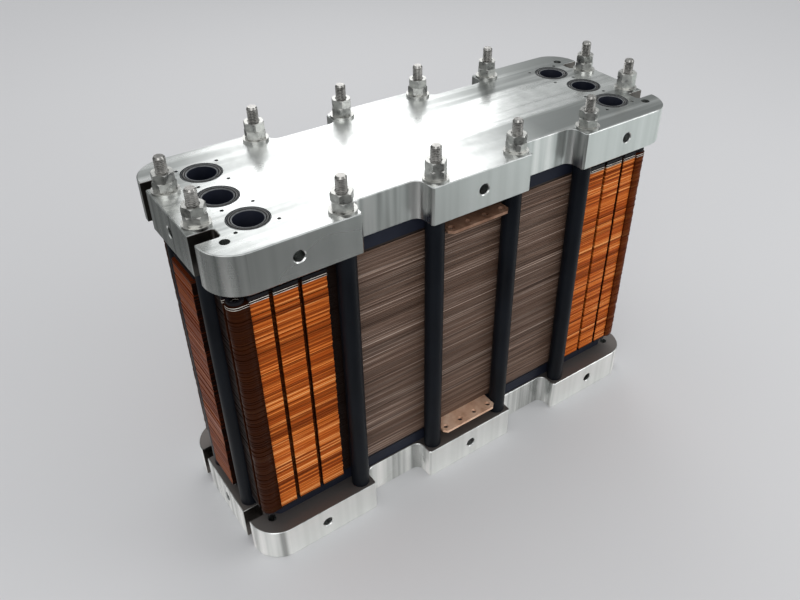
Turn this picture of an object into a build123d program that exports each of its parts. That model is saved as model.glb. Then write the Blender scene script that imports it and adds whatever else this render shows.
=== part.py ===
from build123d import *
import os

os.makedirs("parts", exist_ok=True)

# ---- driving dimensions, mm (origin under the middle of the bottom end plate, +Z up) ----
LENGTH = 500.0            # end plates along X
WIDTH = 178.0             # end plates along Y
PLATE_T = 38.0            # end plate thickness
HEIGHT = 360.0            # underside of the bottom plate to the top face of the top plate
INSULATOR_T = 14.0
COLLECTOR_T = 3.0
CORNER_R = 30.0           # end plate corners
EDGE_BREAK = 0.8          # chamfer round both faces of each end plate
HALF_X = LENGTH / 2
HALF_Y = WIDTH / 2

# clamping lugs along the long sides
MID_LUG_HALF = HALF_X - 194.0
OUTER_LUG_START = HALF_X - 126.0
RECESS_DEPTH = 20.5
RECESS_FILLET = 9.0
LUG_BREAK = 2.0
# slots beside the middle lug at each end
SLOT_FROM = HALF_Y - 46.2
SLOT_TO = HALF_Y - 32.4
SLOT_DEPTH = 20.8
SLOT_FILLET = 3.0

# M10 tie rods
ROD_R = 5.0
ROD_STICK_OUT = 32.0      # above the top plate
ROD_SEAT_DEPTH = 25.0     # thread engaged in the bottom plate
THREAD_FIT = 0.05         # radial, rod in its nuts and in the bottom plate
ROD_HOLE_R = 5.5          # clearance hole in the top plate
WASHER_R = 11.8
WASHER_T = 2.5
WASHER_MARGIN = 0.3       # washer to the plate's long edge
NUT_ACROSS_FLATS = 17.0
NUT_T = 8.0
SLEEVE_R = 9.0
SLEEVE_BORE_R = 5.4
ROD_SIDE_X = (MID_LUG_HALF - 11.2, OUTER_LUG_START + 11.6)
ROD_SIDE_Y = HALF_Y - WASHER_R - WASHER_MARGIN
ROD_END_X = HALF_X - 12.7
ROD_END_Y = SLOT_FROM - 11.7

# media ports
PORT_BORE_R = 12.4
LINER_R = 17.3
PORT_GAP = 0.6            # radial, liner in the top plate
PORT_HOLE_R = LINER_R + PORT_GAP
LINER_SET_BACK = 0.3
O_RING_R = 15.1           # middle of the square-section face ring
O_RING_HALF = 1.3
GROOVE_HALF = 1.5
GROOVE_DEPTH = 2.2
PORT_OUTER = (HALF_X - 48.7, HALF_Y - 44.3)
PORT_MIDDLE_X = HALF_X - 43.4

# holes in the end plates
ALIGN_HOLE_R = 4.25
ALIGN_X = HALF_X - 19.8
ALIGN_Y = HALF_Y - 23.2
SIDE_HOLE_R = 5.1
SIDE_HOLE_DEPTH = 26.0
SIDE_HOLE_X = HALF_X - 67.8
SIDE_SINK = 0.9
COVER_HOLE_R = 1.65
COVER_HOLE_DEPTH = 12.0
COVER_X = HALF_X - 50.0   # middle of the port cover's screw patterns
COVER_OUTER = (36.4, 117.4)
COVER_INNER = (26.4, 45.6)

# cell stack
CELL_COUNT = 25
CELL_HALF_X = HALF_X - 98.1
CELL_HALF_Y = HALF_Y - 22.0
MEMBRANE_T = 0.5
MEMBRANE_INSET = 1.0
INSULATOR_HALF_X = HALF_X - 24.0
INSULATOR_HALF_Y = CELL_HALF_Y - 0.5
INSULATOR_R = 8.0

# manifold frames at the two ends of the cells
FRAME_HALF_Y = HALF_Y - 16.7
FRAME_FRONT_END = HALF_X - 28.0
FRAME_END = HALF_X - 12.0
FRAME_SHOULDER_Y = ALIGN_Y - 7.8
FRAME_GROOVES_X = (CELL_HALF_X + 24.7, CELL_HALF_X + 50.7)
FRAME_GROOVE = 4.0
POCKET_FLOOR = HALF_X - 23.0
POCKET_HALF = 10.8        # room for an end sleeve
TONGUE_END = HALF_X - 5.0
EAR_R = 7.2
EAR_NECK_HALF = 4.0

# current collectors
COLLECTOR_INSET = 1.9
COLLECTOR_HALF_X = CELL_HALF_X - COLLECTOR_INSET
COLLECTOR_HALF_Y = CELL_HALF_Y - 1.0
TAB_HALF = 35.0
TAB_FRONT = HALF_Y - 1.8
TAB_CHAMFER = 4.0
TAB_HOLE_R = 2.8
TAB_HOLE_PITCH = 19.4
TAB_HOLE_Y = TAB_FRONT - 7.2

# ---- heights that follow from them ----
TOP_PLATE_Z = HEIGHT - PLATE_T
LOW_COLLECTOR_Z = PLATE_T + INSULATOR_T
CELLS_Z0 = LOW_COLLECTOR_Z + COLLECTOR_T
TOP_INSULATOR_Z = TOP_PLATE_Z - INSULATOR_T
CELLS_Z1 = TOP_INSULATOR_Z - COLLECTOR_T
ROD_FOOT_Z = PLATE_T - ROD_SEAT_DEPTH
ROD_TOP = HEIGHT + ROD_STICK_OUT

SIGNS = (-1, 1)
ROD_SPOTS = [(sx * x, sy * ROD_SIDE_Y) for sx in SIGNS for x in ROD_SIDE_X for sy in SIGNS]
ROD_SPOTS += [(sx * ROD_END_X, sy * ROD_END_Y) for sx in SIGNS for sy in SIGNS]
ALIGN_SPOTS = [(sx * ALIGN_X, sy * ALIGN_Y) for sx in SIGNS for sy in SIGNS]


def port_spots(side):
    x, y = PORT_OUTER
    return [(side * x, -y), (side * PORT_MIDDLE_X, 0.0), (side * x, y)]


PORT_SPOTS = port_spots(-1) + port_spots(1)


def prism(sketch, z0, z1):
    return Pos(0, 0, z0) * extrude(sketch, amount=z1 - z0)


def post(x, y, r, z0, z1):
    return Pos(x, y, z0) * Cylinder(r, z1 - z0, align=(Align.CENTER, Align.CENTER, Align.MIN))


def tube(x, y, r_out, r_in, z0, z1):
    return post(x, y, r_out, z0, z1) - post(x, y, r_in, z0, z1)


def save(name, shape):
    shape.label = name
    export_step(shape, "parts/" + name + ".step")


def group(pieces):
    return Compound(children=list(pieces))


# ---- end plates ----
def plate_outline():
    sketch = Rectangle(LENGTH, WIDTH)
    sketch = fillet(sketch.vertices(), CORNER_R)
    recess_w = OUTER_LUG_START - MID_LUG_HALF
    recess_x = (OUTER_LUG_START + MID_LUG_HALF) / 2
    slot_w = SLOT_TO - SLOT_FROM
    slot_y = (SLOT_TO + SLOT_FROM) / 2
    for sx in SIGNS:
        for sy in SIGNS:
            recess = RectangleRounded(recess_w, 2 * RECESS_DEPTH, RECESS_FILLET)
            slot = RectangleRounded(2 * SLOT_DEPTH, slot_w, SLOT_FILLET)
            sketch -= Pos(sx * recess_x, sy * WIDTH / 2) * recess
            sketch -= Pos(sx * LENGTH / 2, sy * slot_y) * slot
    mouths = [v for v in sketch.vertices() if on_recess_mouth(v)]
    return chamfer(mouths, LUG_BREAK)


def on_recess_mouth(v):
    on_side = abs(abs(v.Y) - WIDTH / 2) < 0.01
    at_lug = min(abs(abs(v.X) - MID_LUG_HALF), abs(abs(v.X) - OUTER_LUG_START)) < 0.01
    return on_side and at_lug


def side_hole(depth):
    drill = Cylinder(SIDE_HOLE_R, depth, align=(Align.CENTER, Align.CENTER, Align.MAX))
    sink = Cone(SIDE_HOLE_R, SIDE_HOLE_R + SIDE_SINK, SIDE_SINK,
                align=(Align.CENTER, Align.CENTER, Align.MAX))
    return drill + sink


def end_plate(z0):
    plate = prism(plate_outline(), z0, z0 + PLATE_T)
    rims = plate.faces().sort_by(Axis.Z)
    plate = chamfer(rims[0].edges() + rims[-1].edges(), EDGE_BREAK)
    middle = z0 + PLATE_T / 2
    for x in (-SIDE_HOLE_X, 0.0, SIDE_HOLE_X):
        for sy in SIGNS:
            place = Pos(x, sy * WIDTH / 2, middle) * Rot(-sy * 90, 0, 0)
            plate -= place * side_hole(SIDE_HOLE_DEPTH)
    for sx in SIGNS:
        place = Pos(sx * LENGTH / 2, 0, middle) * Rot(0, sx * 90, 0)
        plate -= place * side_hole(SIDE_HOLE_DEPTH)
    for x, y in ALIGN_SPOTS:
        plate -= post(x, y, ALIGN_HOLE_R, z0, z0 + PLATE_T)
    return plate


def bottom_plate():
    plate = end_plate(0.0)
    for x, y in ROD_SPOTS:
        plate -= post(x, y, ROD_R + THREAD_FIT, ROD_FOOT_Z, PLATE_T)
    return plate


def top_plate():
    plate = end_plate(TOP_PLATE_Z)
    for x, y in ROD_SPOTS:
        plate -= post(x, y, ROD_HOLE_R, TOP_PLATE_Z, HEIGHT)
    for x, y in PORT_SPOTS:
        plate -= post(x, y, PORT_HOLE_R, TOP_PLATE_Z, HEIGHT)
    for sx in SIGNS:
        for spacing in (COVER_OUTER, COVER_INNER):
            for spot in GridLocations(*spacing, 2, 2):
                x = sx * COVER_X + spot.position.X
                plate -= post(x, spot.position.Y, COVER_HOLE_R, HEIGHT - COVER_HOLE_DEPTH, HEIGHT)
    return plate


save("bottom_end_plate", bottom_plate())
save("top_end_plate", top_plate())


# ---- insulators and current collectors ----
def insulator(z0):
    sheet = RectangleRounded(2 * INSULATOR_HALF_X, 2 * INSULATOR_HALF_Y, INSULATOR_R)
    return prism(sheet, z0, z0 + INSULATOR_T)


save("bottom_insulator_plate", insulator(PLATE_T))
top_insulator = insulator(TOP_INSULATOR_Z)
for x, y in PORT_SPOTS:
    top_insulator -= post(x, y, PORT_HOLE_R, TOP_INSULATOR_Z, TOP_PLATE_Z)
save("top_insulator_plate", top_insulator)


def collector(z0):
    sheet = Rectangle(2 * COLLECTOR_HALF_X, 2 * COLLECTOR_HALF_Y)
    tab = Pos(0, -TAB_FRONT / 2) * Rectangle(2 * TAB_HALF, TAB_FRONT)
    sheet += chamfer(tab.vertices().filter_by(lambda v: v.Y < -COLLECTOR_HALF_Y), TAB_CHAMFER)
    for step in (-1.5, -0.5, 0.5, 1.5):
        sheet -= Pos(step * TAB_HOLE_PITCH, -TAB_HOLE_Y) * Circle(TAB_HOLE_R)
    return prism(sheet, z0, z0 + COLLECTOR_T)


save("bottom_current_collector", collector(LOW_COLLECTOR_Z))
save("top_current_collector", collector(CELLS_Z1))

# ---- cells: bipolar plates with the membranes between them ----
CELL_PITCH = (CELLS_Z1 - CELLS_Z0 + MEMBRANE_T) / CELL_COUNT
bipolar = Rectangle(2 * CELL_HALF_X, 2 * CELL_HALF_Y)
membrane = Rectangle(2 * (CELL_HALF_X - MEMBRANE_INSET), 2 * (CELL_HALF_Y - MEMBRANE_INSET))
plates = []
sheets = []
for i in range(CELL_COUNT):
    low = CELLS_Z0 + i * CELL_PITCH
    high = low + CELL_PITCH - MEMBRANE_T
    plates.append(prism(bipolar, low, high))
    if i < CELL_COUNT - 1:
        sheets.append(prism(membrane, high, high + MEMBRANE_T))
save("bipolar_plates", group(plates))
save("membranes", group(sheets))


# ---- manifold frames: tongue, rod pockets, ears and grooves round the media channels ----
def rect(x0, x1, y0, y1):
    return Pos((x0 + x1) / 2, (y0 + y1) / 2) * Rectangle(x1 - x0, y1 - y0)


def frame_outline():
    sketch = rect(CELL_HALF_X, FRAME_FRONT_END, -FRAME_HALF_Y, FRAME_HALF_Y)
    sketch += rect(FRAME_FRONT_END, FRAME_END, -FRAME_SHOULDER_Y, FRAME_SHOULDER_Y)
    tongue_half = ROD_END_Y - POCKET_HALF
    sketch += rect(FRAME_FRONT_END, TONGUE_END, -tongue_half, tongue_half)
    for sy in SIGNS:
        pocket_y = sy * ROD_END_Y
        sketch -= rect(POCKET_FLOOR, TONGUE_END, pocket_y - POCKET_HALF, pocket_y + POCKET_HALF)
        low, high = sorted((sy * FRAME_SHOULDER_Y, sy * ALIGN_Y))
        sketch += rect(ALIGN_X - EAR_NECK_HALF, ALIGN_X + EAR_NECK_HALF, low, high)
        sketch += Pos(ALIGN_X, sy * ALIGN_Y) * Circle(EAR_R)
        sketch -= Pos(ALIGN_X, sy * ALIGN_Y) * Circle(ALIGN_HOLE_R)
        for x in FRAME_GROOVES_X:
            sketch -= Pos(x, sy * FRAME_HALF_Y) * Rectangle(FRAME_GROOVE, 2 * FRAME_GROOVE)
    for x, y in port_spots(1):
        sketch -= Pos(x, y) * Circle(PORT_BORE_R)
    return sketch


right_outline = frame_outline()


def both_ends(name, spans):
    pieces = [prism(right_outline, z0, z1) for z0, z1 in spans]
    mirrored = [mirror(piece, about=Plane.YZ) for piece in pieces]
    if len(pieces) > 1:
        save("right_" + name, group(pieces))
        save("left_" + name, group(mirrored))
    else:
        save("right_" + name, pieces[0])
        save("left_" + name, mirrored[0])


both_ends("manifold_frames", [(CELLS_Z0, CELLS_Z1)])
both_ends("end_seals", [(LOW_COLLECTOR_Z, CELLS_Z0), (CELLS_Z1, TOP_INSULATOR_Z)])


# ---- port liners with their O-rings ----
def liner_profile():
    height = HEIGHT - LINER_SET_BACK - TOP_INSULATOR_Z
    wall = Pos((PORT_BORE_R + LINER_R) / 2, height / 2) * Rectangle(LINER_R - PORT_BORE_R, height)
    groove = Pos(O_RING_R, height - GROOVE_DEPTH / 2) * Rectangle(2 * GROOVE_HALF, GROOVE_DEPTH)
    return Plane.XZ * (wall - groove)


liner = revolve(liner_profile(), Axis.Z)
o_ring_low = HEIGHT - LINER_SET_BACK - GROOVE_DEPTH
o_ring_high = o_ring_low + 2 * O_RING_HALF
save("port_liners", group([Pos(x, y, TOP_INSULATOR_Z) * liner for x, y in PORT_SPOTS]))
rings = []
for x, y in PORT_SPOTS:
    rings.append(tube(x, y, O_RING_R + O_RING_HALF, O_RING_R - O_RING_HALF, o_ring_low, o_ring_high))
save("port_o_rings", group(rings))


# ---- tie rods, sleeves, washers and double nuts ----
def hex_nut(x, y, z0, turn):
    body = RegularPolygon(NUT_ACROSS_FLATS / 2, 6, major_radius=False, rotation=turn)
    body -= Circle(ROD_R + THREAD_FIT)
    return Pos(x, y, 0) * prism(body, z0, z0 + NUT_T)


WASHER_TOP = HEIGHT + WASHER_T
rods = [post(x, y, ROD_R, ROD_FOOT_Z, ROD_TOP) for x, y in ROD_SPOTS]
sleeves = [tube(x, y, SLEEVE_R, SLEEVE_BORE_R, PLATE_T, TOP_PLATE_Z) for x, y in ROD_SPOTS]
washers = [tube(x, y, WASHER_R, ROD_HOLE_R, HEIGHT, WASHER_TOP) for x, y in ROD_SPOTS]
save("tie_rods", group(rods))
save("rod_sleeves", group(sleeves))
save("rod_washers", group(washers))

CLAMP_TURN = 17
LOCK_TURN = 41
clamp_nuts = []
lock_nuts = []
for i, (x, y) in enumerate(ROD_SPOTS):
    clamp_nuts.append(hex_nut(x, y, WASHER_TOP, CLAMP_TURN * i))
    lock_nuts.append(hex_nut(x, y, WASHER_TOP + NUT_T, LOCK_TURN * i + CLAMP_TURN))
save("clamp_nuts", group(clamp_nuts))
save("lock_nuts", group(lock_nuts))
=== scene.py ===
import bpy
import math
import random
from mathutils import Matrix, Vector


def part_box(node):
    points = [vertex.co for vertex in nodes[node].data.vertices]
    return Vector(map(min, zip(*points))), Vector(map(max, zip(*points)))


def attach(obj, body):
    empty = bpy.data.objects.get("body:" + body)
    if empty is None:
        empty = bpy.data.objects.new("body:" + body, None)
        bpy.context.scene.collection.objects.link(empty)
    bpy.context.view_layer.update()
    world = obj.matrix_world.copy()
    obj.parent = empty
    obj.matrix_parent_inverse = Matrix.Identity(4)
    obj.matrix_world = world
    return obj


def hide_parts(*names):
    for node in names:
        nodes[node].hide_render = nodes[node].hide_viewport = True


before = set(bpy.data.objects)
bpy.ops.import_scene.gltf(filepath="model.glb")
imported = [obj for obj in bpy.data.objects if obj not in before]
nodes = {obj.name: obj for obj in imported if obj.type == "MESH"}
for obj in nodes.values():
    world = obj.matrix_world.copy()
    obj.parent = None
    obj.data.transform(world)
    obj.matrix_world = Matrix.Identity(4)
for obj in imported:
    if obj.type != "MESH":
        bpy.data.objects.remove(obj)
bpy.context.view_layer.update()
mm = 0.001
closeEnough = 0.01 * mm      # points nearer than this become one


# Helpers to select, change and join meshes
def objectMode():
    bpy.ops.object.mode_set(mode="OBJECT")


def editMode():
    bpy.ops.object.mode_set(mode="EDIT")


def clearSelection():
    if bpy.context.object and bpy.context.object.mode != "OBJECT":
        objectMode()
    bpy.ops.object.select_all(action="DESELECT")


def pick(*pieces):
    clearSelection()
    for piece in pieces:
        piece.select_set(True)
    bpy.context.view_layer.objects.active = pieces[0]


def editAll(piece):
    pick(piece)
    editMode()
    bpy.ops.mesh.select_all(action="SELECT")


def deselectMesh(piece, kind):
    pick(piece)
    editMode()
    bpy.ops.mesh.select_mode(type=kind)
    bpy.ops.mesh.select_all(action="DESELECT")
    objectMode()


def selectPoints(piece, wanted):
    deselectMesh(piece, "VERT")
    for vertex in piece.data.vertices:
        vertex.select = wanted(vertex.co)
    editMode()


def selectEdges(piece, wanted):
    deselectMesh(piece, "EDGE")
    points = piece.data.vertices
    for edge in piece.data.edges:
        first, second = edge.vertices
        edge.select = wanted(points[first].co, points[second].co)
    editMode()


def applyModifier(piece, kind, **settings):
    pick(piece)
    modifier = piece.modifiers.new(kind.title(), kind)
    for key, value in settings.items():
        setattr(modifier, key, value)
    bpy.ops.object.modifier_apply(modifier=modifier.name)


def applyPlace(piece):
    pick(piece)
    bpy.ops.object.transform_apply(location=True, rotation=True, scale=True)


def copyOf(piece, name, place=None):
    mesh = piece.data.copy()
    twin = bpy.data.objects.new(name, mesh)
    bpy.context.scene.collection.objects.link(twin)
    if place is not None:
        mesh.transform(place)
    return twin


def joined(pieces, name):
    pick(*pieces)
    bpy.ops.object.join()
    whole = bpy.context.object
    whole.name = name
    whole.data.name = name
    return whole


def smooth(piece, degrees):
    pick(piece)
    bpy.ops.object.shade_smooth_by_angle(angle=math.radians(degrees))


def outward(piece):
    editAll(piece)
    bpy.ops.mesh.normals_make_consistent(inside=False)
    objectMode()


def merged(piece):
    editAll(piece)
    bpy.ops.mesh.remove_doubles(threshold=2 * closeEnough)
    objectMode()


def cylinder(radius, low, high, sides):
    clearSelection()
    bpy.ops.mesh.primitive_cylinder_add(
        vertices=sides, radius=radius, depth=high - low, location=(0, 0, (high + low) / 2))
    piece = bpy.context.object
    applyPlace(piece)
    return piece


def outlineOf(name, points, closed=False):
    clearSelection()
    bpy.ops.mesh.primitive_plane_add(size=1)
    piece = bpy.context.object
    piece.name = name
    editMode()
    bpy.ops.mesh.select_mode(type="VERT")
    bpy.ops.mesh.select_all(action="SELECT")
    bpy.ops.mesh.merge(type="CENTER")      # one point is left, and the outline grows from it
    radius, height = points[0]
    bpy.ops.transform.translate(value=(radius, 0, height))
    for before, after in zip(points, points[1:]):
        step = (after[0] - before[0], 0, after[1] - before[1])
        bpy.ops.mesh.extrude_region_move(TRANSFORM_OT_translate={"value": step})
    objectMode()
    if closed:
        last = len(piece.data.vertices) - 1
        for vertex in piece.data.vertices:
            vertex.select = vertex.index in (0, last)
        editMode()
        bpy.ops.mesh.edge_face_add()
        objectMode()
    return piece


def spun(name, points, steps):
    piece = outlineOf(name, points, closed=True)
    editAll(piece)
    bpy.ops.mesh.spin(steps=steps, angle=2 * math.pi, center=(0, 0, 0), axis=(0, 0, 1))
    bpy.ops.mesh.select_all(action="SELECT")
    bpy.ops.mesh.remove_doubles(threshold=closeEnough)
    bpy.ops.mesh.normals_make_consistent(inside=False)
    objectMode()
    return piece


def centresOf(node):
    whole = copyOf(nodes[node], node + "Islands")
    merged(whole)
    editMode()
    bpy.ops.mesh.separate(type="LOOSE")
    objectMode()
    centres = []
    for island in list(bpy.context.selected_objects):
        xs = [v.co.x for v in island.data.vertices]
        ys = [v.co.y for v in island.data.vertices]
        centres.append(((min(xs) + max(xs)) / 2, (min(ys) + max(ys)) / 2))
        bpy.data.objects.remove(island)
    return sorted(centres)


def dress(piece, *looks):
    piece.data.materials.clear()
    for look in looks:
        piece.data.materials.append(look)


def keep(piece, slotName, *replaced):
    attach(piece, "root")
    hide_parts(*replaced)
    return piece


# Builder for the node materials; all patterns follow Object coordinates
class Finish:
    def __init__(self, name, shader):
        self.material = bpy.data.materials.new(name)
        self.material.use_nodes = True
        self.tree = self.material.node_tree
        self.shader = self.tree.nodes["Principled BSDF"]
        self.place = self.add("ShaderNodeTexCoord").outputs["Object"]
        for key, value in shader.items():
            self.shader.inputs[key].default_value = value

    def add(self, kind, **settings):
        node = self.tree.nodes.new(kind)
        for key, value in settings.items():
            setattr(node, key, value)
        return node

    def link(self, source, target):
        self.tree.links.new(source, target)

    def feed(self, value, socket):
        if isinstance(value, bpy.types.NodeSocket):
            self.link(value, socket)
        else:
            socket.default_value = (*value, 1.0) if isinstance(value, tuple) else value

    def noise(self, scale=1.0, stretch=(1, 1, 1), detail=3, rough=0.5, turn=(0, 0, 0)):
        mapping = self.add("ShaderNodeMapping")
        mapping.inputs["Scale"].default_value = stretch
        mapping.inputs["Rotation"].default_value = turn
        self.link(self.place, mapping.inputs["Vector"])
        texture = self.add("ShaderNodeTexNoise")
        texture.inputs["Scale"].default_value = scale
        texture.inputs["Detail"].default_value = detail
        texture.inputs["Roughness"].default_value = rough
        self.link(mapping.outputs["Vector"], texture.inputs["Vector"])
        return texture.outputs["Fac"]

    def ramp(self, value, stops):
        ramp = self.add("ShaderNodeValToRGB")
        band = ramp.color_ramp
        while len(band.elements) < len(stops):
            band.elements.new(0.5)
        for element, (spot, tone) in zip(band.elements, stops):
            element.position = spot
            element.color = (*tone, 1.0)
        self.link(value, ramp.inputs["Fac"])
        return ramp.outputs["Color"]

    # turns the range (from, to) of a value into the range (low, high)
    def spread(self, value, source, target):
        span = self.add("ShaderNodeMapRange")
        limits = zip(("From Min", "From Max", "To Min", "To Max"), (*source, *target))
        for key, number in limits:
            span.inputs[key].default_value = number
        self.link(value, span.inputs["Value"])
        return span.outputs["Result"]

    def mixed(self, amount, first, second):
        mix = self.add("ShaderNodeMix", data_type="RGBA")
        tones = [socket for socket in mix.inputs if socket.type == "RGBA"]
        self.feed(amount, mix.inputs["Factor"])
        self.feed(first, tones[0])
        self.feed(second, tones[1])
        return [socket for socket in mix.outputs if socket.type == "RGBA"][0]

    def maths(self, operation, first, second=0.0):
        node = self.add("ShaderNodeMath", operation=operation)
        self.feed(first, node.inputs[0])
        self.feed(second, node.inputs[1])
        return node.outputs["Value"]

    def both(self, first, second):
        return self.maths("MULTIPLY", first, second)

    def either(self, first, second):
        return self.maths("MAXIMUM", first, second)

    def above(self, value, limit):
        return self.maths("GREATER_THAN", value, limit)

    def below(self, value, limit):
        return self.maths("LESS_THAN", value, limit)

    def within(self, value, limits):
        return self.both(self.above(value, limits[0]), self.below(value, limits[1]))

    def along(self, axis):
        split = self.add("ShaderNodeSeparateXYZ")
        self.link(self.place, split.inputs["Vector"])
        return split.outputs[axis]

    def awayFromMiddle(self, axis):      # the same on both halves of the stack
        return self.maths("ABSOLUTE", self.along(axis))

    def colour(self, value):
        self.link(value, self.shader.inputs["Base Color"])

    def roughness(self, value):
        self.link(value, self.shader.inputs["Roughness"])

    def relief(self, *layers):
        before = None
        for value, strength, depth in layers:
            bump = self.add("ShaderNodeBump")
            bump.inputs["Strength"].default_value = strength
            bump.inputs["Distance"].default_value = depth
            self.link(value, bump.inputs["Height"])
            if before:
                self.link(before, bump.inputs["Normal"])
            before = bump.outputs["Normal"]
        self.link(before, self.shader.inputs["Normal"])


# Milled end plates
endPlate = {
    "seat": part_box("bottom_end_plate")[1].z,                 # the face under the stack
    "seatSkin": 0.2 * mm,
    "topFace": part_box("top_end_plate")[1].z - 0.4 * mm,      # each face's finish starts
    "lugFace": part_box("top_end_plate")[1].y - 0.3 * mm,      # a little below it
    "slotTop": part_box("top_end_plate")[1].z - 0.5 * mm,
    "slotFromX": 228.8 * mm,                                 # the slots in both ends
    "slotY": (42.5 * mm, 56.9 * mm),
    "calm": [                                                # top face and lug faces
        (0.3, (0.66, 0.68, 0.67)),
        (0.5, (0.74, 0.76, 0.75)),
        (0.72, (0.80, 0.815, 0.81)),
    ],
    "reflectionBands": [                                              # painted reflection bands, light and dark, on recesses and rounded corners
        (0.34, (0.34, 0.35, 0.345)),
        (0.5, (0.72, 0.74, 0.73)),
        (0.66, (0.98, 0.98, 0.97)),
    ],
    "darkerTopRight": (-10 * mm, 100 * mm),                       # the top face turns darker, in streaks, over these lengths
    "darkerTopLeft": (-230 * mm, -100 * mm),
    "darkerTopTone": (0.26, 0.275, 0.27),
    "stainTone": (0.50, 0.51, 0.50),
    "seatReflectionTone": (0.22, 0.20, 0.19),
    "slotTone": (0.17, 0.155, 0.145),
    "gloss": (0.2, 0.38),
    "seatGloss": 0.6,
}


def machinedAluminium():
    finish = Finish("machinedAluminium", {"Metallic": 1.0})
    cutterLines = finish.noise(stretch=(9, 9, 900), detail=4, rough=0.6)
    bands = finish.noise(stretch=(80, 80, 2.5), detail=2)      # upright, side by side
    streaks = finish.noise(
        stretch=(1.6, 40, 4), detail=4, rough=0.55, turn=(0, 0, math.radians(3)))
    stains = finish.noise(scale=5.0, stretch=(1, 3, 1))
    x, z = finish.along("X"), finish.along("Z")
    top = finish.above(z, endPlate["topFace"])
    lugFace = finish.above(finish.awayFromMiddle("Y"), endPlate["lugFace"])
    # recesses and rounded corners take painted reflection bands
    calm = finish.ramp(bands, endPlate["calm"])
    reflectionBands = finish.ramp(bands, endPlate["reflectionBands"])
    tone = finish.mixed(finish.either(top, lugFace), reflectionBands, calm)

    # the top face is darker towards both ends, in streaks
    right = finish.spread(x, endPlate["darkerTopRight"], (0.0, 1.0))
    left = finish.spread(x, endPlate["darkerTopLeft"], (0.8, 0.0))
    darkerTop = finish.both(top, finish.either(left, right))
    darkerTop = finish.both(darkerTop, finish.spread(streaks, (0.41, 0.57), (0.05, 1.0)))
    tone = finish.mixed(darkerTop, tone, endPlate["darkerTopTone"])
    stained = finish.spread(stains, (0.45, 0.7), (0.0, 0.16))
    tone = finish.mixed(stained, tone, endPlate["stainTone"])

    # painted dark reflection on the bottom plate's upper face
    under, skin = endPlate["seat"], endPlate["seatSkin"]
    seat = finish.within(z, (under - skin, under + skin))
    tone = finish.mixed(seat, tone, endPlate["seatReflectionTone"])
    inSlot = finish.both(
        finish.above(finish.awayFromMiddle("X"), endPlate["slotFromX"]),
        finish.within(finish.awayFromMiddle("Y"), endPlate["slotY"]))
    inSlot = finish.both(inSlot, finish.below(z, endPlate["slotTop"]))
    finish.colour(finish.mixed(inSlot, tone, endPlate["slotTone"]))      # the slots stay unlit

    gloss = finish.spread(streaks, (0.3, 0.7), endPlate["gloss"])
    finish.roughness(finish.either(gloss, finish.both(seat, endPlate["seatGloss"])))
    finish.relief((cutterLines, 0.2, 0.4 * mm), (streaks, 0.05, 1.0 * mm))
    return finish.material


# Finishes with one cloudy pattern; relief names a second pattern, or None for the same one
cloudyLooks = {
    "mouldedBlack": {
        "shader": {"Specular IOR Level": 0.14},
        "pattern": {"scale": 18.0},
        "tones": [(0.3, (0.008, 0.010, 0.018)), (0.7, (0.018, 0.021, 0.034))],
        "gloss": (0.38, 0.58),
        "relief": [({"scale": 420.0}, 0.2, 0.2 * mm)],
    },
    "shrinkSleeve": {
        "shader": {"Specular IOR Level": 0.1},
        "pattern": {"scale": 26.0, "stretch": (1, 1, 0.6), "detail": 4},
        "tones": [(0.3, (0.003, 0.004, 0.006)), (0.7, (0.007, 0.009, 0.013))],
        "gloss": (0.34, 0.52),
        "relief": [({"stretch": (60, 60, 9)}, 0.25, 0.6 * mm), (None, 0.1, 0.4 * mm)],
    },
    "sealRubber": {
        "shader": {"Specular IOR Level": 0.2},
        "pattern": {"scale": 40.0},
        "tones": [(0.3, (0.004, 0.004, 0.006)), (0.7, (0.012, 0.011, 0.014))],
        "gloss": (0.4, 0.6),
        "relief": [(None, 0.1, 0.3 * mm)],
    },
    "ringRubber": {
        "shader": {"Specular IOR Level": 0.7},
        "pattern": {"scale": 300.0},
        "tones": [(0.4, (0.006, 0.006, 0.006)), (0.75, (0.03, 0.03, 0.03))],
        "gloss": (0.22, 0.4),
        "relief": [(None, 0.1, 0.1 * mm)],
    },
    "zincSteel": {
        "shader": {"Metallic": 1.0},
        "pattern": {"scale": 170.0, "detail": 4, "rough": 0.6},
        "tones": [(0.3, (0.34, 0.34, 0.33)), (0.5, (0.56, 0.56, 0.54)), (0.7, (0.74, 0.74, 0.71))],
        "gloss": (0.22, 0.44),
        "relief": [
            ({"stretch": (160, 160, 1800), "detail": 2}, 0.1, 0.1 * mm),
            (None, 0.1, 0.2 * mm),
        ],
    },
    "rodSteel": {
        "shader": {"Metallic": 0.9},
        "pattern": {"scale": 120.0, "detail": 4, "rough": 0.6},
        "tones": [
            (0.3, (0.22, 0.215, 0.205)),
            (0.5, (0.38, 0.37, 0.355)),
            (0.72, (0.56, 0.55, 0.53)),
        ],
        "gloss": (0.18, 0.34),
        "relief": [(None, 0.1, 0.2 * mm)],
    },
    "turnedGrey": {
        "shader": {"Metallic": 0.2},
        "pattern": {"stretch": (240, 240, 900), "detail": 2},
        "tones": [(0.3, (0.07, 0.075, 0.08)), (0.7, (0.17, 0.18, 0.19))],
        "gloss": (0.3, 0.5),
        "relief": [(None, 0.15, 0.2 * mm)],
    },
}


def cloudyFinish(name, look):
    finish = Finish(name, look["shader"])
    cloud = finish.noise(**look["pattern"])
    finish.colour(finish.ramp(cloud, look["tones"]))
    finish.roughness(finish.spread(cloud, (0.3, 0.7), look["gloss"]))
    finish.relief(*[
        (finish.noise(**pattern) if pattern else cloud, strength, depth)
        for pattern, strength, depth in look["relief"]
    ])
    return finish.material


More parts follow.
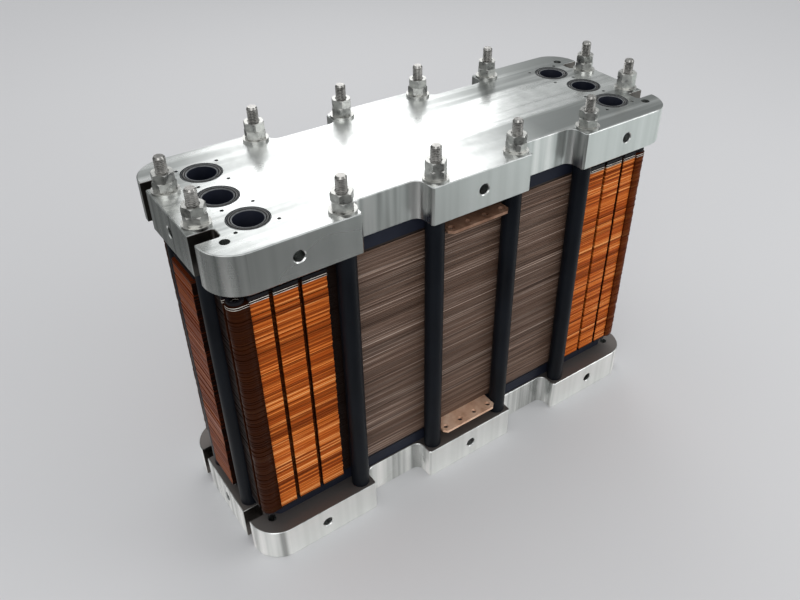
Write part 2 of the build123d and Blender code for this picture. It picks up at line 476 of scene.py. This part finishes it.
# Edges of the manifold films: dark, middle and light tones
filmTones = {
    "amberFilm": ((0.17, 0.030, 0.003), (0.43, 0.084, 0.010), (0.84, 0.28, 0.060)),
    "amberPale": ((0.34, 0.066, 0.008), (0.62, 0.155, 0.024), (1.0, 0.48, 0.17)),
    "amberDark": ((0.09, 0.016, 0.002), (0.27, 0.050, 0.006), (0.52, 0.14, 0.024)),
    "coreBrown": ((0.012, 0.005, 0.003), (0.03, 0.012, 0.006), (0.08, 0.03, 0.012)),
}
frameFace = {                                # limits as lengths from the stack's middle
    "side": (150.0 * mm, 221.5 * mm),        # along the stack, from the cells to the ears
    "sunkSide": (30.0 * mm, 71.1 * mm),      # across it: shaded inside the outer side face
    "behindSleeve": (20.1 * mm, 56.5 * mm),
    "lineStops": (0.30, 0.40, 0.58, 0.66),
    "paintedGlint": (0.60, 0.68),
    "endShadeTone": (0.105, 0.018, 0.003),        # painted shade: the ends darker and redder
    "endShadeAmount": 0.8,
    "shadeTone": (0.017, 0.0045, 0.0012),
    "shadeAmount": 0.9,
    "shadeFrom": (-200 * mm, 200 * mm),      # the shade is full at the left end
    "shadeTo": (1.0, 0.45),
    "sleeveShadowTone": (0.008, 0.003, 0.002),
    "gloss": (0.26, 0.5),
}


def layered(stops, dark, middle, light):
    return list(zip(stops, (dark, middle, middle, light)))


def filmEdge(name, tones):
    dark, _, light = tones
    finish = Finish(name, {"Specular IOR Level": 0.05})
    lines = finish.noise(stretch=(3, 3, 700), detail=2, rough=0.6)      # single film edges
    drift = finish.noise(stretch=(2, 2, 260), detail=2)
    # painted glints: thin light lines mixed into the film edges
    paintedGlints = finish.noise(stretch=(12, 12, 1000), detail=1)
    tone = finish.ramp(lines, layered(frameFace["lineStops"], *tones))
    tone = finish.mixed(finish.spread(paintedGlints, frameFace["paintedGlint"], (0.0, 0.9)), tone, light)
    tone = finish.mixed(finish.spread(drift, (0.5, 0.74), (0.0, 0.3)), tone, dark)

    x, y = finish.awayFromMiddle("X"), finish.awayFromMiddle("Y")
    end = finish.above(x, frameFace["side"][1])
    sunk = finish.both(
        finish.within(x, frameFace["side"]), finish.within(y, frameFace["sunkSide"]))
    ears = finish.both(end, finish.above(y, frameFace["behindSleeve"][1]))
    # painted shadow on the end faces beside the sleeves
    shadowed = finish.both(end, finish.within(y, frameFace["behindSleeve"]))
    alongShade = finish.spread(finish.along("X"), frameFace["shadeFrom"], frameFace["shadeTo"])
    shaded = finish.both(finish.either(sunk, ears), alongShade)
    # painted shade on the end faces, darker and redder
    endShadeAmount = finish.both(end, frameFace["endShadeAmount"])
    shadeAmount = finish.both(shaded, frameFace["shadeAmount"])
    tone = finish.mixed(endShadeAmount, tone, frameFace["endShadeTone"])
    tone = finish.mixed(shadeAmount, tone, frameFace["shadeTone"])
    finish.colour(finish.mixed(shadowed, tone, frameFace["sleeveShadowTone"]))
    finish.roughness(finish.spread(drift, (0.3, 0.7), frameFace["gloss"]))
    finish.relief((lines, 0.5, 0.5 * mm))
    return finish.material


sheetTones = {
    "rimAndHighlight": [(0.35, (0.42, 0.38, 0.33)), (0.55, (0.92, 0.88, 0.80))],
    "shadowed": (0.02, 0.010, 0.006),
    "gloss": (0.25, 0.45),
}


def sheetRim():
    finish = Finish("paleEdgeAndHighlight", {"Specular IOR Level": 0.6})
    wear = finish.noise(stretch=(70, 70, 400), detail=4, rough=0.6)
    x, y = finish.awayFromMiddle("X"), finish.awayFromMiddle("Y")
    start, end = frameFace["side"]
    front = finish.both(
        finish.within(x, (start, end + 0.3 * mm)), finish.above(y, frameFace["sunkSide"][1]))
    ears = finish.both(finish.above(x, end), finish.above(y, frameFace["behindSleeve"][1]))
    # pale edge with a painted highlight on the front and ear faces, painted shade elsewhere
    pale = finish.ramp(wear, sheetTones["rimAndHighlight"])
    finish.colour(finish.mixed(finish.either(front, ears), sheetTones["shadowed"], pale))
    finish.roughness(finish.spread(wear, (0.3, 0.7), sheetTones["gloss"]))
    finish.relief((wear, 0.1, 0.2 * mm))
    return finish.material


# Edges of the cells: dark, middle and light tones
cellTones = {
    "graphite": ((0.046, 0.024, 0.015), (0.112, 0.064, 0.043), (0.30, 0.205, 0.155)),
    "graphitePale": ((0.070, 0.039, 0.027), (0.142, 0.085, 0.060), (0.48, 0.36, 0.29)),
    "membraneEdge": ((0.03, 0.022, 0.017), (0.085, 0.064, 0.052), (0.36, 0.31, 0.27)),
}
cellFace = {
    "cornerShadeFrom": 137.2 * mm,                  # painted shade beside the frames, as a length from the middle
    "cornerShadeTone": (0.012, 0.005, 0.003),
    "lineStops": (0.32, 0.44, 0.58, 0.66),
    "paleStreaks": (0.5, 0.78),
    "gloss": (0.42, 0.66),
}


def cellEdge(name, tones):
    finish = Finish(name, {"Specular IOR Level": 0.25})
    lines = finish.noise(stretch=(3, 3, 720), detail=2, rough=0.6)
    streakCloud = finish.noise(stretch=(9, 9, 330), detail=4, rough=0.65)
    tone = finish.ramp(lines, layered(cellFace["lineStops"], *tones))
    # paler streaks mixed into the cell edges
    paleStreaks = finish.spread(streakCloud, cellFace["paleStreaks"], (0.0, 0.55))
    tone = finish.mixed(paleStreaks, tone, tones[-1])
    # painted shade on the cells beside the frames
    atEnd = finish.above(finish.awayFromMiddle("X"), cellFace["cornerShadeFrom"])
    finish.colour(finish.mixed(atEnd, tone, cellFace["cornerShadeTone"]))
    finish.roughness(finish.spread(streakCloud, (0.3, 0.7), cellFace["gloss"]))
    finish.relief((lines, 0.4, 0.3 * mm))
    return finish.material


# Copper collectors: dark, middle and light tones
copperTones = {
    # the bottom collector's copy is painted lit, the top collector's copy painted in shade
    "brightCopper": ((0.64, 0.37, 0.24), (0.84, 0.54, 0.37), (0.98, 0.72, 0.54)),
    "tarnishedCopper": ((0.17, 0.085, 0.050), (0.28, 0.15, 0.095), (0.42, 0.26, 0.18)),
}
copperSheet = {"tabHalf": 35.2 * mm, "edgeShadeTone": (0.030, 0.020, 0.016), "gloss": (0.34, 0.56)}


def dulledCopper(name, tones):
    dark, middle, light = tones
    finish = Finish(name, {"Metallic": 0.45})
    brushed = finish.noise(stretch=(500, 12, 12))
    spots = finish.noise(scale=60.0, detail=5, rough=0.65)
    sheet = finish.above(finish.awayFromMiddle("X"), copperSheet["tabHalf"])      # beside the tab; painted shade on the sheet's edges
    tone = finish.ramp(spots, [(0.32, dark), (0.5, middle), (0.7, light)])
    finish.colour(finish.mixed(sheet, tone, copperSheet["edgeShadeTone"]))
    finish.roughness(finish.spread(spots, (0.3, 0.7), copperSheet["gloss"]))
    finish.relief((brushed, 0.12, 0.2 * mm), (spots, 0.08, 0.3 * mm))
    return finish.material


finishes = {"machinedAluminium": machinedAluminium(), "paleEdgeAndHighlight": sheetRim()}
for recipe, looks in (
    (cloudyFinish, cloudyLooks),
    (filmEdge, filmTones),
    (cellEdge, cellTones),
    (dulledCopper, copperTones),
):
    finishes.update({name: recipe(name, look) for name, look in looks.items()})
print("finishes ready")


# Pieces that keep their solid's own shape
kept = {
    "top_end_plate": "machinedAluminium",
    "bottom_end_plate": "machinedAluminium",
    "top_insulator_plate": "mouldedBlack",
    "bottom_insulator_plate": "mouldedBlack",
    "top_current_collector": "tarnishedCopper",
    "bottom_current_collector": "brightCopper",
    "left_end_seals": "sealRubber",
    "right_end_seals": "sealRubber",
    "rod_sleeves": "shrinkSleeve",
    "rod_washers": "zincSteel",
}
for node, look in kept.items():
    dress(nodes[node], finishes[look])
print("plates, collectors and sleeves dressed")


# Manifold frames: a pile of thin amber films at each end
filmStack = {
    "thinnest": 1.1 * mm,
    "thickest": 2.7 * mm,
    "narrowGap": 0.1 * mm,
    "wideGap": 0.8 * mm,
    "unevenness": 0.55 * mm,             # how far a film may sit back from the face
    "coreSetBack": 0.9 * mm,
    "topGap": 3.9 * mm,                  # the pile ends below the insulator
    "sheets": (0.3 * mm, 2.3 * mm),      # two pale sheets lie in that gap
    "sheetThick": 0.5 * mm,
    "paleShare": 0.28,
    "darkShare": 0.28,
    "oneSealHeight": 100 * mm,           # parts the lower seal from the upper one
    "seed": 7,
}
ear = {                                  # the round lug at each outer corner of a film
    "x": 230.2 * mm,
    "y": 65.8 * mm,
    "notchFrom": 222.1 * mm,
    "notchMargin": 1 * mm,
    "neckFrom": 58.5 * mm,
    "holeReach": 5.0 * mm,
    "outerReach": 7.6 * mm,
    "wider": 1.17,
}
tongue = {"from": 243.0 * mm, "halfWidth": 32.0 * mm, "proud": 3.0 * mm}


def oneFilm(side):
    outer = -1 if side == "left" else 1
    film = copyOf(nodes[side + "_end_seals"], side + "Film")
    merged(film)
    low = min(v.co.z for v in film.data.vertices)
    selectPoints(film, lambda at: at.z > low + filmStack["oneSealHeight"])
    bpy.ops.mesh.delete(type="VERT")
    bpy.ops.mesh.select_all(action="SELECT")
    bpy.ops.mesh.dissolve_limited(angle_limit=math.radians(1))
    bpy.ops.mesh.normals_make_consistent(inside=False)
    objectMode()

    def fromHole(at, back):
        return math.hypot(at.x - outer * ear["x"], at.y - back * ear["y"])

    def inNotch(at):
        past = ear["notchFrom"] < abs(at.x) < ear["x"] - ear["notchMargin"]
        back = 1 if at.y > 0 else -1
        return past and abs(at.y) > ear["neckFrom"] and fromHole(at, back) > ear["holeReach"]

    for back in (-1, 1):
        middle = (outer * ear["x"], back * ear["y"], 0)
        selectPoints(film, lambda at: ear["holeReach"] < fromHole(at, back) < ear["outerReach"])
        bpy.ops.transform.resize(value=(ear["wider"], ear["wider"], 1), center_override=middle)
    selectPoints(
        film, lambda at: abs(at.x) > tongue["from"] and abs(at.y) < tongue["halfWidth"])
    bpy.ops.transform.translate(value=(outer * tongue["proud"], 0, 0))
    selectPoints(film, inNotch)
    meeting = (outer * ear["notchFrom"], 0, 0)      # the ear meets the front face here
    bpy.ops.transform.resize(value=(0, 1, 1), center_override=meeting)
    objectMode()
    return film


def stackFilms(side):
    dice = random.Random(filmStack["seed"] + len(side))
    low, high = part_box(side + "_manifold_frames")
    centre = (low + high) / 2
    half = (high - low) / 2
    pattern = oneFilm(side)
    base = min(v.co.z for v in pattern.data.vertices)
    thick = max(v.co.z for v in pattern.data.vertices) - base

    def fitted(name, setBack, deep, z):
        toMiddle = Matrix.Translation((-centre.x, -centre.y, -base))
        shrink = Matrix.Diagonal((1 - setBack / half.x, 1 - setBack / half.y, deep / thick, 1))
        place = Matrix.Translation((centre.x, centre.y, z)) @ shrink @ toMiddle
        return copyOf(pattern, side + name, place)

    films = []
    z = low.z
    top = high.z - filmStack["topGap"]
    while z < top - filmStack["thinnest"]:
        deep = min(dice.uniform(filmStack["thinnest"], filmStack["thickest"]), top - z)
        setBack = dice.random() ** 2 * filmStack["unevenness"]
        film = fitted(f"Film{len(films)}", setBack, deep, z)
        roll = dice.random()
        look = "amberFilm"
        if roll < filmStack["paleShare"]:
            look = "amberPale"
        elif roll > 1 - filmStack["darkShare"]:
            look = "amberDark"
        dress(film, finishes[look])
        films.append(film)
        z += deep + filmStack["narrowGap"] + dice.random() ** 2 * filmStack["wideGap"]
    for i, lift in enumerate(filmStack["sheets"]):
        sheet = fitted(f"Sheet{i}", 0, filmStack["sheetThick"], top + lift)
        dress(sheet, finishes["paleEdgeAndHighlight"], finishes["coreBrown"])
        for face in sheet.data.polygons:
            face.material_index = 1 if abs(face.normal.z) > 0.5 else 0
        films.append(sheet)
    core = fitted("FilmCore", filmStack["coreSetBack"], 2 * half.z, low.z)
    dress(core, finishes["coreBrown"])
    films.append(core)
    bpy.data.objects.remove(pattern)
    return keep(joined(films, side + "FilmStack"), "frame_amber", side + "_manifold_frames")


for side in ("left", "right"):
    stack = stackFilms(side)
    print(side, "film stack:", len(stack.data.polygons), "faces")


# Cells: thin graphite plates and the membrane edges between them
cellStack = {
    "plate": 1.55 * mm,
    "spread": 0.45 * mm,
    "membrane": 0.35 * mm,
    "unevenness": 0.5 * mm,
    "edgeBreak": 0.12 * mm,
    "paleShare": 0.3,
    "seed": 21,
}


def cellPattern(corner):
    clearSelection()
    size = (2 * corner.x, 2 * corner.y, 1 * mm)
    bpy.ops.mesh.primitive_cube_add(size=1, location=(0, 0, size[2] / 2), scale=size)
    pattern = bpy.context.object
    applyPlace(pattern)
    applyModifier(pattern, "BEVEL", width=cellStack["edgeBreak"], segments=1)
    return pattern


def stackCells():
    dice = random.Random(cellStack["seed"])
    low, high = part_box("bipolar_plates")
    pattern = cellPattern(high)

    def fitted(name, setBack, deep, z):
        shrink = Matrix.Diagonal((1, 1 - setBack / high.y, deep / (1 * mm), 1))
        return copyOf(pattern, name, Matrix.Translation((0, 0, z)) @ shrink)

    plates, edges = [], []
    z = low.z
    while z < high.z - cellStack["membrane"]:
        wish = cellStack["plate"] + dice.uniform(-1, 1) * cellStack["spread"]
        deep = min(wish, high.z - z)
        setBack = dice.random() ** 2 * cellStack["unevenness"]
        plate = fitted(f"cellPlate{len(plates)}", setBack, deep, z)
        pale = dice.random() < cellStack["paleShare"]
        dress(plate, finishes["graphitePale" if pale else "graphite"])
        plates.append(plate)
        z += deep
        if z < high.z - 2 * cellStack["membrane"]:
            setBack = dice.uniform(0.2, 1.0) * cellStack["unevenness"]
            edge = fitted(f"membraneEdge{len(edges)}", setBack, cellStack["membrane"], z)
            dress(edge, finishes["membraneEdge"])
            edges.append(edge)
            z += cellStack["membrane"]
    bpy.data.objects.remove(pattern)
    keep(joined(plates, "graphitePlates"), "cell_graphite", "bipolar_plates")
    keep(joined(edges, "membraneEdges"), "membrane_dark", "membranes")
    return len(plates)


print("cells:", stackCells())


# Tie rods with a rolled thread, and their double nuts
rod = {
    "radius": 5.0 * mm,
    "rootRadius": 4.15 * mm,
    "crestShare": 0.985,          # of the radius
    "pitch": 1.5 * mm,
    "crestFrom": 0.42,            # shares of the pitch
    "crestTo": 0.56,
    "rootFrom": 0.96,
    "threadFrom": -3.0 * mm,      # below the washer's seat
    "tipChamfer": 1.0 * mm,
    "tipShare": 0.78,
    "steps": 28,
    "sides": 32,
    "smoothUpTo": 40,             # degrees
}
nut = {
    "acrossFlats": 17.0 * mm,
    "height": 8.0 * mm,
    "chamfer": 1.5 * mm,
    "boreRadius": 4.7 * mm,
    "sinkRadius": 5.6 * mm,
    "domeShare": 1.001,           # the dome just holds the corners
    "domeSides": 72,
    "smoothUpTo": 20,
    "clampTurns": (0, 17, 34, 51, 8, 25, 42, 59, 13, 30, 47, 4),      # degrees, rod by rod
    "lockTurn": 26,                                                   # on from the clamp nut
    "lockTurnStep": 9,
}


def threadedRod(low, high, seat):
    root, crest, pitch = rod["rootRadius"], rod["radius"] * rod["crestShare"], rod["pitch"]
    threadTop = high - 2 * rod["tipChamfer"]
    turns = int((threadTop - seat - rod["threadFrom"]) / pitch)
    start = threadTop - turns * pitch
    shares = [(root, 0), (crest, rod["crestFrom"]), (crest, rod["crestTo"]),
              (root, rod["rootFrom"]), (root, 1)]
    thread = outlineOf("thread", [(radius, start + share * pitch) for radius, share in shares])
    applyModifier(
        thread, "SCREW", angle=2 * math.pi, screw_offset=pitch, iterations=turns,
        steps=rod["steps"], render_steps=rod["steps"],
        use_merge_vertices=True, merge_threshold=closeEnough)
    shank = cylinder(root, low, high - 0.5 * rod["tipChamfer"], rod["sides"])
    clearSelection()
    bpy.ops.mesh.primitive_cone_add(
        vertices=rod["sides"], radius1=crest, radius2=rod["radius"] * rod["tipShare"],
        depth=high - threadTop, location=(0, 0, (high + threadTop) / 2))
    tip = bpy.context.object
    applyPlace(tip)
    body = cylinder(rod["radius"], low, start, rod["sides"])
    whole = joined([thread, shank, tip, body], "rodPattern")
    outward(whole)
    smooth(whole, rod["smoothUpTo"])
    return whole


def cut(piece, tool):
    applyModifier(piece, "BOOLEAN", operation="DIFFERENCE", object=tool, solver="EXACT")
    bpy.data.objects.remove(tool)


def chamferedNut():
    high, wide = nut["height"], nut["sinkRadius"]
    corner = nut["acrossFlats"] / math.sqrt(3)
    hexagon = cylinder(corner, 0, high, sides=6)
    dome = cylinder(corner * nut["domeShare"], 0, high, nut["domeSides"])
    selectEdges(dome, lambda first, second: abs(first.z - second.z) < closeEnough)
    bpy.ops.mesh.bevel(offset=nut["chamfer"], offset_type="WIDTH", segments=1)
    objectMode()      # the bevelled rims now trim the nut's corners
    applyModifier(hexagon, "BOOLEAN", operation="INTERSECT", object=dome, solver="EXACT")
    bpy.data.objects.remove(dome)
    cut(hexagon, cylinder(nut["boreRadius"], -high, 2 * high, rod["sides"]))
    for face in (0, high):
        clearSelection()
        bpy.ops.mesh.primitive_cone_add(
            vertices=rod["sides"], radius1=2 * wide, radius2=0, depth=2 * wide,
            location=(0, 0, face))
        sink = bpy.context.object
        if face == high:
            bpy.ops.transform.rotate(
                value=math.pi, orient_axis="X", center_override=(0, 0, face))
        applyPlace(sink)
        cut(hexagon, sink)
    smooth(hexagon, nut["smoothUpTo"])
    return hexagon


def fitRods():
    low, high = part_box("tie_rods")
    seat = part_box("rod_washers")[1].z
    rodPattern = threadedRod(low.z, high.z, seat)
    nutPattern = chamferedNut()
    rods, clampNuts, lockNuts = [], [], []
    for i, (x, y) in enumerate(centresOf("tie_rods")):
        lockDegrees = nut["lockTurn"] + nut["lockTurnStep"] * i
        turn = Matrix.Rotation(math.radians(nut["clampTurns"][i]), 4, "Z")
        lockTurn = turn @ Matrix.Rotation(math.radians(lockDegrees), 4, "Z")
        onPlate = Matrix.Translation((x, y, seat))
        onClampNut = Matrix.Translation((x, y, seat + nut["height"]))
        rods.append(copyOf(rodPattern, f"tieRod{i}", Matrix.Translation((x, y, 0)) @ turn))
        clampNuts.append(copyOf(nutPattern, f"clampNut{i}", onPlate @ turn))
        lockNuts.append(copyOf(nutPattern, f"lockNut{i}", onClampNut @ lockTurn))
    for pieces, name, replaced, slotName, look in (
        (rods, "tieRods", "tie_rods", "rod_steel", "rodSteel"),
        (clampNuts, "clampNuts", "clamp_nuts", "fastener_steel", "zincSteel"),
        (lockNuts, "lockNuts", "lock_nuts", "fastener_steel", "zincSteel"),
    ):
        whole = joined(pieces, name)
        dress(whole, finishes[look])
        keep(whole, slotName, replaced)
    bpy.data.objects.remove(rodPattern)
    bpy.data.objects.remove(nutPattern)
    return len(rods)


print("tie rods:", fitRods())


# Port liners with a rounded lip and a round face ring in its groove
port = {
    "bore": 12.4 * mm,
    "lip": 0.5 * mm,
    "grooveIn": 13.6 * mm,
    "grooveOut": 16.6 * mm,
    "grooveDepth": 2.2 * mm,
    "outer": 17.3 * mm,
    "ringMiddle": 15.1 * mm,
    "ringSection": 1.25 * mm,      # its radius
    "ringSides": 14,
    "steps": 56,
    "linerSmoothUpTo": 35,         # degrees
    "ringSmoothUpTo": 60,
}


def turnedLiner(low, top):
    lip, floor = port["lip"], top - port["grooveDepth"]
    liner = spun("linerPattern", [
        (port["bore"], low), (port["bore"], top - lip),
        (port["bore"] + 0.3 * lip, top - 0.3 * lip), (port["bore"] + lip, top),
        (port["grooveIn"], top), (port["grooveIn"], floor),
        (port["grooveOut"], floor), (port["grooveOut"], top - 0.2 * lip),
        (port["grooveOut"] + 0.2 * lip, top), (port["outer"] - 0.4 * lip, top),
        (port["outer"], top - 0.6 * lip), (port["outer"], low),
    ], port["steps"])
    dress(liner, finishes["turnedGrey"], finishes["mouldedBlack"])
    for face in liner.data.polygons:
        inBore = face.center.xy.length < port["bore"] + 0.02 * lip
        belowGroove = face.center.z < top - 0.9 * port["grooveDepth"]
        face.material_index = 1 if inBore or belowGroove else 0
    smooth(liner, port["linerSmoothUpTo"])
    return liner


def faceRing(top):
    radius, sides = port["ringSection"], port["ringSides"]
    angles = [2 * math.pi * i / sides for i in range(sides)]
    ring = spun("ringPattern", [
        (port["ringMiddle"] + radius * math.cos(angle), top - radius + radius * math.sin(angle))
        for angle in angles
    ], port["steps"])
    dress(ring, finishes["ringRubber"])
    smooth(ring, port["ringSmoothUpTo"])
    return ring


def fitPorts():
    low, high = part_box("port_liners")
    liner = turnedLiner(low.z, high.z)
    ring = faceRing(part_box("port_o_rings")[1].z)
    liners, rings = [], []
    for i, (x, y) in enumerate(centresOf("port_liners")):
        place = Matrix.Translation((x, y, 0))
        liners.append(copyOf(liner, f"portLiner{i}", place))
        rings.append(copyOf(ring, f"portRing{i}", place))
    keep(joined(liners, "portLiners"), "liner_grey", "port_liners")
    keep(joined(rings, "portRings"), "o_ring_black", "port_o_rings")
    bpy.data.objects.remove(liner)
    bpy.data.objects.remove(ring)
    return len(liners)


print("ports:", fitPorts())


# Floor, light and camera; the metal reflects its own set of floor and sky tones
studio = {
    "background": (0.584, 0.584, 0.597),
    "floor": (0.70, 0.70, 0.705),
    "floorCloud": 0.985,                          # how pale its cloudy patches stay
    "stackHalf": (0.25, 0.09),
    "nearReach": (0.02, 0.40),                    # how far round the stack the near tone fades
    "rightReach": (0.12, 0.5),
    "floorNearForMirrors": (1.0, 0.98, 0.96),     # what the low side faces reflect
    "floorFarForMirrors": (0.12, 0.125, 0.12),
    "floorRightForMirrors": (0.62, 0.66, 0.64),
    "skyForMirrors": (0.70, 0.71, 0.71),
    "horizonForMirrors": (0.16, 0.17, 0.165),
    "horizonUpTo": 0.22,
    "skyFrom": 0.43,
    "ambient": 0.72,
    "ambientTone": (0.97, 0.98, 1.0),
}
lamps = {
    "overheadBack": {
        "place": (0.62, 1.2, 1.08), "aim": (-0.06, 0, 0.36), "size": (0.8, 0.55), "watts": 2.8,
    },
    "frontLeft": {
        "place": (-1.2, -1.4, 1.1), "aim": (0, 0, 0.15), "size": (1.2, 1.2), "watts": 8,
    },
    "frontRight": {
        "place": (1.3, -1.0, 0.9), "aim": (0, 0, 0.15), "size": (0.8, 1.0), "watts": 5,
    },
}
shot = {
    "place": (-0.4004, -0.5567, 0.6866),
    "azimuth": -38.11,
    "elevation": 36.25,
    "roll": 1.67,
    "lens": 35.84,
    "shift": (-0.0648, -0.0183),
}


def layFloor():
    clearSelection()
    bpy.ops.mesh.primitive_plane_add(size=30, location=(0, 0, 0))
    floor = bpy.context.object
    floor.name = "studioFloor"
    finish = Finish("studioFloor", {"Roughness": 0.95})
    cloud = finish.noise(scale=0.8, detail=2)
    patch = tuple(channel * studio["floorCloud"] for channel in studio["floor"])
    plain = finish.ramp(cloud, [(0.3, patch), (0.7, studio["floor"])])
    halfLength, halfWidth = studio["stackHalf"]
    away = finish.either(
        finish.maths("SUBTRACT", finish.awayFromMiddle("X"), halfLength),
        finish.maths("SUBTRACT", finish.awayFromMiddle("Y"), halfWidth))
    toRight = finish.spread(finish.along("X"), studio["rightReach"], (0.0, 1.0))
    far = finish.ramp(
        toRight, [(0.0, studio["floorFarForMirrors"]), (1.0, studio["floorRightForMirrors"])])
    fade = finish.spread(away, studio["nearReach"], (0.0, 1.0))
    mirrored = finish.mixed(fade, studio["floorNearForMirrors"], far)
    path = finish.add("ShaderNodeLightPath")
    finish.colour(finish.mixed(path.outputs["Is Glossy Ray"], plain, mirrored))
    dress(floor, finish.material)


def lightWorld():
    world = bpy.data.worlds.new("studioWorld")
    bpy.context.scene.world = world
    world.use_nodes = True
    tree = world.node_tree
    tree.nodes.clear()
    add, link = tree.nodes.new, tree.links.new
    out, path = add("ShaderNodeOutputWorld"), add("ShaderNodeLightPath")
    show, glossy = add("ShaderNodeMixShader"), add("ShaderNodeMixShader")
    plain, sky, soft = [add("ShaderNodeBackground") for _ in range(3)]
    plain.inputs["Color"].default_value = (*studio["background"], 1)
    soft.inputs["Color"].default_value = (*studio["ambientTone"], 1)
    soft.inputs["Strength"].default_value = studio["ambient"]

    where, split = add("ShaderNodeTexCoord"), add("ShaderNodeSeparateXYZ")
    ramp = add("ShaderNodeValToRGB")
    horizon, zenith = ramp.color_ramp.elements
    horizon.position = studio["horizonUpTo"]
    horizon.color = (*studio["horizonForMirrors"], 1)
    zenith.position = studio["skyFrom"]
    zenith.color = (*studio["skyForMirrors"], 1)
    link(where.outputs["Generated"], split.inputs["Vector"])
    link(split.outputs["Z"], ramp.inputs["Fac"])
    link(ramp.outputs["Color"], sky.inputs["Color"])

    link(path.outputs["Is Glossy Ray"], glossy.inputs["Fac"])
    link(soft.outputs["Background"], glossy.inputs[1])
    link(sky.outputs["Background"], glossy.inputs[2])
    link(path.outputs["Is Camera Ray"], show.inputs["Fac"])
    link(glossy.outputs["Shader"], show.inputs[1])
    link(plain.outputs["Background"], show.inputs[2])
    link(show.outputs["Shader"], out.inputs["Surface"])


def hangLamps():
    for name, lamp in lamps.items():
        data = bpy.data.lights.new(name, "AREA")
        data.shape = "RECTANGLE"
        data.size, data.size_y = lamp["size"]
        data.energy = lamp["watts"]
        light = bpy.data.objects.new(name, data)
        bpy.context.scene.collection.objects.link(light)
        light.location = lamp["place"]
        aim = Vector(lamp["aim"]) - Vector(lamp["place"])
        light.rotation_euler = aim.to_track_quat("-Z", "Y").to_euler()


def setCamera():
    data = bpy.data.cameras.new("studioCamera")
    data.lens = shot["lens"]
    data.sensor_width = 36
    data.shift_x, data.shift_y = shot["shift"]
    data.clip_start = 10 * mm
    camera = bpy.data.objects.new("studioCamera", data)
    bpy.context.scene.collection.objects.link(camera)
    turn = Matrix.Rotation(math.radians(shot["azimuth"]), 4, "Z")
    turn @= Matrix.Rotation(math.radians(90 - shot["elevation"]), 4, "X")
    turn @= Matrix.Rotation(math.radians(shot["roll"]), 4, "Z")
    camera.matrix_world = Matrix.Translation(shot["place"]) @ turn
    bpy.context.scene.camera = camera


layFloor()
lightWorld()
hangLamps()
setCamera()
bpy.context.scene.view_settings.view_transform = "Standard"
print("studio ready")
